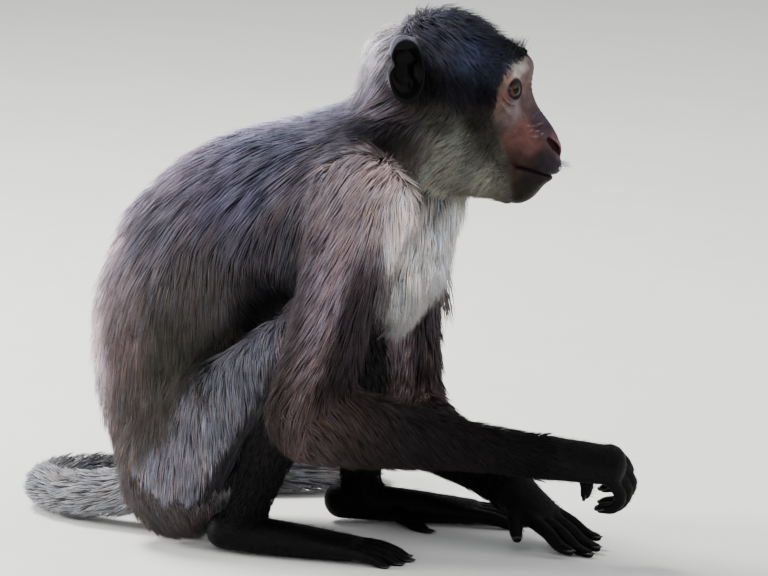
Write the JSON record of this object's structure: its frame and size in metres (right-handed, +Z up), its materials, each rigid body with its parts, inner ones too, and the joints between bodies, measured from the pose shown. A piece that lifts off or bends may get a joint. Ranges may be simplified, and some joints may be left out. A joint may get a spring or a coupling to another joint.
{
  "type": "mangabey monkey, seated, life-size still model",
  "caption": "Seated mangabey with hunched back, both arms reaching forward, head level in profile and tail curled on the floor.",
  "frame": {"origin": "floor under the middle of the seat", "axes": "+X the way the body faces, +Y its left side, +Z up"},
  "size_m": [0.4667, 0.367, 0.3833],
  "materials": {
    "grey_coat": "long slate grey-brown fur, soft sheen",
    "brown_coat": "grey-brown fur, darker towards the hands",
    "dark_coat": "short near-black fur",
    "face_skin": "bare pinkish brown skin, fine wrinkles",
    "dark_skin": "bare dark ear skin",
    "eye": "wet amber-brown eye"
  },
  "bodies": {
    "root": {"head": "dark_coat", "muzzle": "face_skin", "lower_jaw": "face_skin", "ear_left": "dark_skin", "ear_right": "dark_skin", "eye_left": "eye", "eye_right": "eye", "neck": "grey_coat", "chest": "grey_coat", "belly": "grey_coat", "rump": "brown_coat", "tail_base": "grey_coat", "tail_middle": "grey_coat", "tail_end": "grey_coat", "tail_tip": "grey_coat", "upper_arm_left": "grey_coat", "upper_arm_right": "grey_coat", "forearm_left": "brown_coat", "forearm_right": "brown_coat", "hand_left": "dark_coat", "hand_right": "dark_coat", "thigh_left": "grey_coat", "thigh_right": "grey_coat", "shank_left": "grey_coat", "shank_right": "grey_coat", "foot_left": "dark_coat", "foot_right": "dark_coat"}
  },
  "joints": []
}
